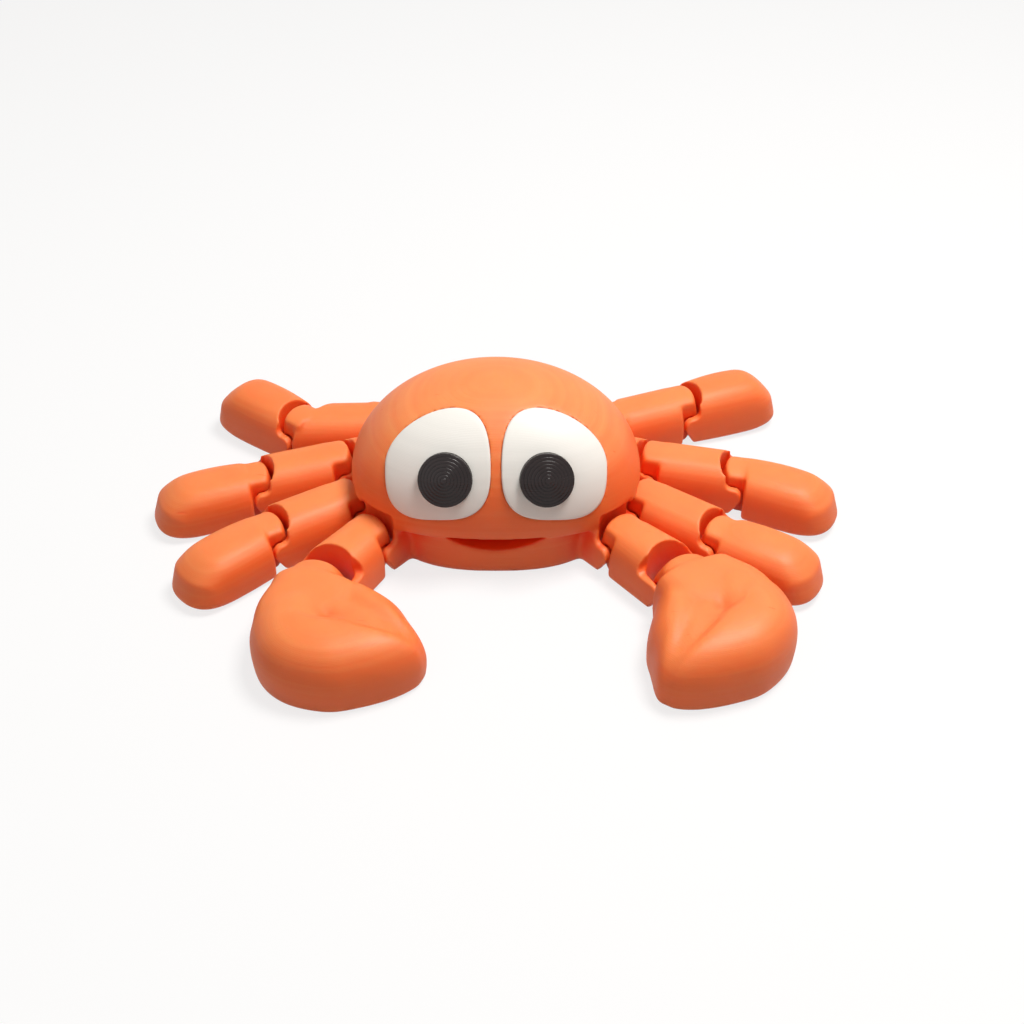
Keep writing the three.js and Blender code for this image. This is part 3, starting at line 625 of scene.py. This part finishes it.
def layered_plastic(
        name, deep, colour, pale, roughness, up=(0, 0, 1), subsurface=0.0, relief=0.55, shine=0.4):
    """Printed plastic: beads of each layer on steep walls and terraces on flat tops, in bump; painted light
    that makes surfaces paler the more they face up; streaks along the layers in colour and gloss, small
    scuffs and scars; and painted shade with bounced light that gives a deeper colour in hollows."""
    material, place, output = new_material(name)
    flatness = dot(Signal(place.socket.node.outputs["Normal"]), up)
    top = ramp(flatness, TERRACED)
    # Painted light: the more a surface faces up, the paler its colour.
    back = ramp(flatness, PAINTED_TOP_LIGHT_RANGE)
    layer = dot(place, up) / LAYER
    turn = layer * np.pi
    wave = turn.math("SINE", turn)
    bead = wave.math("ABSOLUTE", wave)
    terrace = 1 - layer.math("FRACT", layer)
    streak = noise(place, STREAK_CELLS, STREAK_DETAIL)
    band = noise(place, BAND_CELLS, BAND_DETAIL)
    cloud = noise(place, CLOUD_CELLS, CLOUD_DETAIL)
    rubbing = noise(place, SCUFF_CELLS, SCUFF_DETAIL, SCUFF_COARSENESS)
    scuff = ramp(rubbing, SCUFFED)
    scar = ramp(noise(place, SCAR_CELLS, SCAR_DETAIL, turn=SCAR_TURN), SCARRED)
    # The tone mixes painted top light with random streaks, bands, clouds, scuffs and scars.
    tone_and_top_light = back * TONE_AND_TOP_LIGHT["back"] + scuff * TONE_AND_TOP_LIGHT["scuff"] - scar * TONE_AND_TOP_LIGHT["scar"]
    tone_and_top_light = tone_and_top_light + (streak - NOISE_MIDDLE) * TONE_AND_TOP_LIGHT["streak"] + (band - NOISE_MIDDLE) * TONE_AND_TOP_LIGHT["band"]
    tone_and_top_light = tone_and_top_light + (cloud - NOISE_MIDDLE) * TONE_AND_TOP_LIGHT["cloud"]
    shade = mix_colour(tone_and_top_light, colour, pale)
    # Painted shade and bounced light: hollows, found by occlusion within the piece, take the deep colour.
    rays = {"only_local": True, "samples": HOLLOW_SHADE_RAYS}
    openness = place.node("ShaderNodeAmbientOcclusion", rays, {"Distance": HOLLOW_SHADE_REACH}, "AO")
    shade = mix_colour(ramp(openness, HOLLOW_SHADE_RANGE), shade, deep)
    rise = bead * (1 - top) * RELIEF["bead"] + terrace * top * RELIEF["terrace"]
    rise = rise + streak * RELIEF["streak"] + rubbing * RELIEF["scuff"] - scar * RELIEF["scar"]
    sockets = {"Strength": relief, "Distance": RELIEF_DEPTH, "Height": rise}
    bump = place.node("ShaderNodeBump", {}, sockets, "Normal")
    gloss = roughness - GLOSS["smooth"] + streak * GLOSS["streak"] + scuff * GLOSS["scuff"]
    sockets = {"Base Color": shade, "Roughness": gloss, "Normal": bump}
    shader = place.node("ShaderNodeBsdfPrincipled", {}, sockets)
    plastic = shader.socket.node
    plastic.inputs["Specular IOR Level"].default_value = shine
    plastic.inputs["Subsurface Weight"].default_value = subsurface
    plastic.inputs["Subsurface Radius"].default_value = LIGHT_SPREAD
    plastic.inputs["Subsurface Scale"].default_value = LIGHT_REACH
    material.node_tree.links.new(shader.socket, output.inputs["Surface"])
    return material


orange_plastic = layered_plastic("orange_print", ORANGE_HOLLOW_SHADE, ORANGE, ORANGE_LIT_AND_PALE, **ORANGE_FINISH)


def fit(piece, body_name, node, material):
    """Gives a piece its finish and lets it stand for its solid on its body."""
    piece.data.materials.clear()
    piece.data.materials.append(material)
    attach(piece, body_name)
    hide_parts(node)


fit(body, "body", "body", orange_plastic)

# The eye whites: two egg-shaped inserts in white plastic that follow the dome and stand a little proud.
# Each is printed flat and pressed into its recess, where a thin lip hides the seam.
# A round pocket in its front takes the pupil.
EYE_EDGE = 0.35
EYE_LIP = 0.3
EYE_LIP_LEVEL = 0.04
EYE_SINK = 1.5
EYE_MIDDLE = 0.01
NUDGE = 0.01
# White in painted shade for hollows, the white plastic, and a paler white for painted top light and random
# tone.
WHITE_HOLLOW_SHADE = (0.55, 0.5, 0.45, 1)
WHITE = (0.84, 0.83, 0.79, 1)
WHITE_LIT_AND_PALE = (0.9, 0.89, 0.85, 1)
WHITE_FINISH = {"roughness": 0.5, "relief": 0.2}
PUPIL_RADIUS = 5.1
PUPIL_OFFSET = 9.5
PUPIL_DROP = 2.6
PUPIL_SINK = 0.9
POCKET_ROOM = 0.05
POCKET_TOP = 4.0


def eye_rings(side, rows=14, edge_rows=7):
    """From the middle of the back out to the outline, out again to the lip, up its edge with a small
    round, and over the front."""
    outline = eye_outline(side, 0)
    lip = eye_outline(side, EYE_LIP)
    middle = outline.mean(axis=0)
    shares = np.linspace(EYE_MIDDLE, 1, rows)[:, None, None]
    back = on_dome(middle + (outline - middle) * shares, -EYE_SINK)
    neck = on_dome(np.stack([outline, lip]), EYE_LIP_LEVEL)
    turn = np.linspace(0, np.pi / 2, edge_rows)[:, None, None]
    inward = (lip - middle) / np.linalg.norm(lip - middle, axis=-1, keepdims=True)
    rounded = lip - inward * EYE_EDGE * (1 - np.cos(turn))
    lift = EYE_PROUD - EYE_EDGE * (1 - np.sin(turn[:, 0, 0]))
    edge = np.stack([on_dome(ring, grow) for ring, grow in zip(rounded, lift)])
    front = on_dome(middle + (rounded[-1] - middle) * shares[::-1][1:], EYE_PROUD)
    return np.concatenate([back, neck, edge, front])


def pupil_seat(side):
    """The point of the eye's front where a pupil sits, and the way that the eye faces there."""
    near = np.array([[0, 0], [NUDGE, 0], [0, NUDGE]])
    point, beside, above = on_dome(np.array([side * PUPIL_OFFSET, -PUPIL_DROP]) + near, EYE_PROUD)
    normal = np.cross(beside - point, above - point)
    return point, normal / np.linalg.norm(normal)


def turned_rings(side, radius, level, sides=160):
    """A profile of radii and levels turned about the axis of a pupil."""
    point, normal = pupil_seat(side)
    across = np.cross([0, 0, 1], normal)
    across = across / np.linalg.norm(across)
    up = np.cross(normal, across)
    angle = np.linspace(0, 2 * np.pi, sides, endpoint=False)
    ring = np.cos(angle)[:, None] * across + np.sin(angle)[:, None] * up
    return point + np.array(radius)[:, None, None] * ring + np.array(level)[:, None, None] * normal


white_plastic = layered_plastic("white_print", WHITE_HOLLOW_SHADE, WHITE, WHITE_LIT_AND_PALE, **WHITE_FINISH)
for side, side_name in ((-1, "left"), (1, "right")):
    wide, deep = PUPIL_RADIUS + POCKET_ROOM, PUPIL_SINK + POCKET_ROOM
    radius = [CROWN_TIP, wide, wide, CROWN_TIP]
    pocket = skin(turned_rings(side, radius, [-deep, -deep, POCKET_TOP, POCKET_TOP]))
    eye = printed("crab_eye_white_" + side_name, skin(eye_rings(side)), [("DIFFERENCE", pocket)])
    fit(eye, "body", "eye_white_" + side_name, white_plastic)

# The pupils: shallow cones in near-black plastic, printed lying flat so that their layers ring them.
# Each sits in the pocket of its eye, square to the dome.
PUPIL_EDGE = 0.7
PUPIL_CROWN = 1.3
PUPIL_STEPS = 8
STEP_ROUND = 0.4
# Black in painted shade for hollows, the black plastic, and a lighter black for painted top light and random
# tone.
BLACK_HOLLOW_SHADE = (0.006, 0.004, 0.004, 1)
BLACK = (0.011, 0.006, 0.006, 1)
BLACK_LIT_AND_PALE = (0.024, 0.015, 0.015, 1)
BLACK_FINISH = {"roughness": 0.29, "relief": 0.2, "shine": 0.3}


def pupil_rings(side, step_rows=7):
    """A cone of round-nosed layers: each drops by a quarter of an ellipse from its flat top to the next."""
    turn = np.linspace(np.pi / 2, 0, step_rows)
    step = np.arange(PUPIL_STEPS)[:, None]
    width, drop = PUPIL_RADIUS / PUPIL_STEPS, PUPIL_CROWN / PUPIL_STEPS
    radius = (step + 1 - STEP_ROUND * (1 - np.cos(turn))) * width
    level = PUPIL_EDGE + PUPIL_CROWN - (step + 1 - np.sin(turn)) * drop
    radius = np.concatenate([[CROWN_TIP], radius.ravel(), [PUPIL_RADIUS, CROWN_TIP]])
    level = np.concatenate([[PUPIL_EDGE + PUPIL_CROWN], level.ravel(), [-PUPIL_SINK, -PUPIL_SINK]])
    return turned_rings(side, radius, level)


for side, side_name in ((-1, "left"), (1, "right")):
    pupil = printed("crab_pupil_" + side_name, skin(pupil_rings(side)), [])
    axis = tuple(pupil_seat(side)[1])
    black_plastic = layered_plastic(
        "black_print_" + side_name, BLACK_HOLLOW_SHADE, BLACK, BLACK_LIT_AND_PALE, up=axis, **BLACK_FINISH)
    fit(pupil, "body", "pupil_" + side_name, black_plastic)

# The legs: six chains of two links in the same orange print, each with a rounded back and round-edged sole.
# A loop on one end is trapped on the bar of a fork, and the outer links swell a little and end in round tips.
# The rear legs are hung the other way round: the fork is on the outer link.
LEG_TIP_LINK = dict(LEG, height=9.3)
LEG_OUTER_LENGTH = 21.7
TIP_LENGTH = 5.4
TIP_POWER = 2.4
TIP_SLOPE = 7.0
TIP_HEIGHT = 6.4
TIP_DRAFT = 2.0
TIP_TUCK = 0.32
TIP_SWELL = 0.09
TIP_FIRST_ROW = 0.1
LOOP_RADIUS = 1.35
SHOULDER = 2.3
TONGUE_ROOM = 0.45
LINK_GRAIN = 0.24
LINK_ROUNDS = 8
LINK_SOFTNESS = 30
# The limbs' paler orange, for painted top light and random tone.
LIMB_LIT_AND_PALE = (0.97, 0.275, 0.08, 1)
OUTER_TURNS = {
    "leg_middle_left": 2.9, "leg_middle_right": -13, "leg_front_left": 10.8, "leg_front_right": 4,
}


def tongue_rings(link, slices=41, nose_steps=13):
    """A tongue in slices across: in each, a nose about the bar that clears the slot's back at any swing,
    and edges that lean away from it by the swing."""
    half = link["half"] - link["cheek"] - TONGUE_ROOM
    across = -half * np.cos(np.linspace(0, np.pi, slices))
    nose = (slot_reach(link, across) - link["nose_gap"])[:, None]
    top = back_height(link, across)[:, None]
    end = SHOULDER + OVERLAP
    angle = np.linspace(np.pi - link["lift"], np.pi + DROOP, nose_steps)
    high = np.minimum(end, ((top - BAR_LEVEL) * np.sin(link["lift"]) - nose) / np.cos(link["lift"]))
    low = np.minimum(end, (BAR_LEVEL * np.sin(DROOP) - nose) / np.cos(DROOP))
    along = np.concatenate([end + 0 * nose, end + 0 * nose, high, nose * np.cos(angle), low], axis=1)
    level = np.concatenate([0 * nose, top, top, BAR_LEVEL + nose * np.sin(angle), 0 * nose], axis=1)
    rings = np.stack([along, across[:, None] + 0 * along, level], axis=-1)
    return rings[:, ::-1]


def loop_shape(link, where):
    """Ends a link at a joint: it is cut square to the bar, and a tongue reaches over it."""
    room = link["half"] + SWEEP_MARGIN
    square = np.array([[SHOULDER - FAR, -room], [SHOULDER, -room], [SHOULDER, room], [SHOULDER - FAR, room]])
    return [
        ("DIFFERENCE", skin(placed(prism_rings(square, -OVERLAP, FAR, 2), *where))),
        ("UNION", skin(placed(tongue_rings(link), *where))),
    ]


def loop_hole(link, where):
    """Bores a tongue for the bar."""
    return [("DIFFERENCE", skin(placed(bar_rings(LOOP_RADIUS, 2 * (link["half"] - link["cheek"])), *where)))]


def leg_tip(start, length, link, where, rows=60):
    """A leg's bar to its tip: the plan closes in half a superellipse, the back slopes down to the end by a
    square law, the middle swells by a sine, the end wall leans in from the sole to the back, and the sole
    rounds up to the end."""
    across, rise, tuck = section()
    end = length - TIP_LENGTH * (1 - (1 - np.abs(across) ** TIP_POWER) ** (1 / TIP_POWER))
    share = np.concatenate([[0], np.sin(np.linspace(TIP_FIRST_ROW, np.pi / 2, rows))])[:, None]
    along = start + (end - start) * share
    descent = np.clip((along - length + TIP_SLOPE) / TIP_SLOPE, 0, 1)
    slope = 1 - (1 - TIP_HEIGHT / link["height"]) * descent ** 2
    swell = 1 + TIP_SWELL * np.sin(np.pi * np.clip(along / length, 0, 1))
    level = link["height"] * rise * slope * swell
    side = link["half"] * across * swell
    near_end = np.clip(1 - (end - along) / TIP_LENGTH, 0, 1)
    lift = TIP_TUCK * (1 - np.sqrt(1 - near_end ** 2))
    sole = np.stack([along, side, level * (1 - (1 - tuck) * (1 - lift))], axis=-1)
    drawn_in = start + (end - TIP_DRAFT * level[-1] / link["height"] - start) * share
    top = np.stack([drawn_in, side, level], axis=-1)
    return slab(placed(top, *where), placed(sole, *where))


def between(start, end):
    """The frame of a link from one joint's place to another's, and its length."""
    (x, y, _), (far_x, far_y, _) = start, end
    return (x, y, np.arctan2(far_y - y, far_x - x)), np.hypot(far_x - x, far_y - y)


limb_plastic = layered_plastic("limb_print", ORANGE_HOLLOW_SHADE, ORANGE, LIMB_LIT_AND_PALE, **ORANGE_FINISH)
joints = {joint["child"]: joint for joint in frame["joints"]}
for side_name in ("left", "right"):
    for place_name in ("rear", "middle", "front"):
        leg = f"leg_{place_name}_{side_name}"
        root = joint_place(joints[leg + "_inner"])
        mid = joint_place(joints[leg + "_outer"])
        along, length = between(root, mid)
        if place_name == "rear":
            run = np.array([-ROUND_OFF, length + ROUND_OFF])
            far_end = (mid[0], mid[1], mid[2] + np.pi)
            shape = loop_shape(LEG, root) + loop_shape(LEG, far_end)
            steps = loop_hole(LEG, root) + loop_hole(LEG, far_end)
        else:
            run = np.array([-ROUND_OFF, length + HORN_RADIUS + ROUND_OFF])
            shape = loop_shape(LEG, root)
            steps = loop_hole(LEG, root) + fork_steps(LEG, mid)
        bar = link_bar(run, np.full(2, LEG["half"]), np.full(2, LEG["height"]), along)
        inner = printed("crab_" + leg + "_inner", bar, steps, LINK_GRAIN, LINK_ROUNDS, shape, LINK_SOFTNESS)
        fit(inner, leg + "_inner", leg + "_inner", limb_plastic)
        if place_name == "rear":
            tip = leg_tip(-HORN_RADIUS - ROUND_OFF, LEG_OUTER_LENGTH, LEG, mid)
            shape, steps = [], fork_steps(LEG, far_end)
        else:
            heading = along[2] + np.radians(OUTER_TURNS[leg])
            tip = leg_tip(-ROUND_OFF, LEG_OUTER_LENGTH, LEG_TIP_LINK, (mid[0], mid[1], heading))
            shape, steps = loop_shape(LEG_TIP_LINK, mid), loop_hole(LEG_TIP_LINK, mid)
        outer = printed("crab_" + leg + "_outer", tip, steps, LINK_GRAIN, LINK_ROUNDS, shape, LINK_SOFTNESS)
        fit(outer, leg + "_outer", leg + "_outer", limb_plastic)

# The arms: two stout links in orange print that widen towards the claws.
# A loop hangs each on its socket in front of the dome, and a wide fork with a deep slot carries the claw.
ARM = {
    "half": 7.1, "height": 11.2, "cheek": 1.8, "reach": 5.6, "nose_gap": 1.9,
    "lift": np.radians(30), "scoop": 4.2,
}
ARM_ROOT_HALF = 5.4

for side_name in ("left", "right"):
    root = joint_place(joints["arm_" + side_name])
    mid = joint_place(joints["claw_" + side_name])
    along, length = between(root, mid)
    run = np.array([-ROUND_OFF, length + HORN_RADIUS + ROUND_OFF])
    half, height = np.array([ARM_ROOT_HALF, ARM["half"]]), np.array([LEG["height"], ARM["height"]])
    bar = link_bar(run, half, height, along)
    shape = loop_shape(LEG, root)
    steps = loop_hole(LEG, root) + fork_steps(ARM, mid)
    arm = printed("crab_arm_" + side_name, bar, steps, LINK_GRAIN, LINK_ROUNDS, shape, LINK_SOFTNESS)
    fit(arm, "arm_" + side_name, "arm_" + side_name, limb_plastic)

# The claws: closed mittens in orange print, each a broad wrist, a palm that ends in the finger, and a thumb.
# Two low lobes fill the knuckle and the web, so that all melt into one another with a shallow fold beside the
# thumb. A loop on the wrist is trapped in the arm's fork.
CLAW_TURNS = {"left": 31, "right": -4.5}
CLAW_WIDEST_LEVEL = 4.0
CLAW_FOOT_SHARE = 0.97
WRIST = {
    "outline": [
        [-1, -6.9], [-1, 6.9], [3, 10.2], [7.6, 12.8], [12.1, 13.2], [15.6, 9], [16.2, 2], [15.4, -3],
        [11.6, -6.5], [4.6, -7.3],
    ],
    "crown": [7.1, 1.6], "height": 12.0, "power": 4.0,
}
PALM = {
    "outline": [
        [14.2, 3], [12.2, 6.5], [9.4, 9.8], [8.8, 12.8], [13.2, 14.4], [20, 13.2], [25.2, 9.1], [28.4, 2.2],
        [28.4, -4.1], [27.3, -10.1], [25.4, -14.4], [23.8, -15.7], [22.4, -13.9], [20.6, -10.4], [18.2, -6.4],
        [15.8, -2.8],
    ],
    "crown": [19.1, 1.9], "height": 13.6, "power": 2.6,
}
THUMB = {
    "outline": [
        [5.1, -1.9], [10.6, -1.2], [15.4, -2.8], [18.7, -6.4], [21, -10.4], [23.8, -14.8], [22, -16.6],
        [16.5, -15], [12.2, -13.5], [6, -8.5], [3, -5.1],
    ],
    "crown": [12.4, -7.6], "height": 12.3, "power": 2.1,
}
KNUCKLE = {
    "outline": [[4, 3], [5, 8], [9, 11.6], [15, 12], [21, 9], [23, 3], [20, -1.5], [14.5, -1.2], [9, 0]],
    "crown": [14, 6], "height": 12.7, "power": 3.0,
}
WEB = {
    "outline": [
        [10, 0], [15, 2], [20, -1], [23.4, -7], [24.6, -13], [23.2, -15.6], [19.5, -13.6], [14.5, -10.5],
        [10, -5.5],
    ],
    "crown": [15.8, -3.6], "height": 12.0, "power": 2.6,
}
CLAW_GRAIN = 0.28
CLAW_ROUNDS = 5
CLAW_SOFTNESS = 80
LOBES = (WRIST, PALM, THUMB, KNUCKLE, WEB)


def closed_curve(points, steps):
    """A smooth closed curve through points: cubic pieces whose slopes come from their neighbours."""
    points = np.array(points, float)
    along = np.arange(steps) / steps * len(points)
    piece = np.floor(along).astype(int)
    share = (along - piece)[:, None]
    before, here, after, later = (points[(piece + step) % len(points)] for step in (-1, 0, 1, 2))
    return 0.5 * (
        2 * here + (after - before) * share + (2 * before - 5 * here + 4 * after - later) * share ** 2
        + (3 * here - before - 3 * after + later) * share ** 3
    )


def lobe_rings(lobe, side, sides=200, rows=80):
    """A mound: its outline is drawn in at the foot, upright at its widest level, and shrinks to its crown
    along a quarter of a superellipse."""
    outline = closed_curve(lobe["outline"], sides)
    crown = np.array(lobe["crown"])
    climb = np.linspace(0, np.pi / 2, rows)
    power = 2 / lobe["power"]
    share = np.concatenate([[CLAW_FOOT_SHARE], np.maximum(np.cos(climb) ** power, CROWN_TIP)])
    rise = (lobe["height"] - CLAW_WIDEST_LEVEL) * np.sin(climb) ** power
    level = np.concatenate([[0], CLAW_WIDEST_LEVEL + rise])
    plan = crown + (outline - crown) * share[:, None, None]
    return np.stack([plan[..., 0], side * plan[..., 1], level[:, None] + 0 * plan[..., 0]], axis=-1)


for side, side_name in ((-1, "left"), (1, "right")):
    claw_name = "claw_" + side_name
    mid = joint_place(joints[claw_name])
    where = (mid[0], mid[1], mid[2] + np.radians(CLAW_TURNS[side_name]))
    wrist, *others = [skin(placed(lobe_rings(lobe, side), *where)) for lobe in LOBES]
    shape = [("UNION", other) for other in others] + loop_shape(ARM, mid)
    steps = loop_hole(ARM, mid)
    claw = printed("crab_" + claw_name, wrist, steps, CLAW_GRAIN, CLAW_ROUNDS, shape, CLAW_SOFTNESS)
    fit(claw, claw_name, claw_name, limb_plastic)
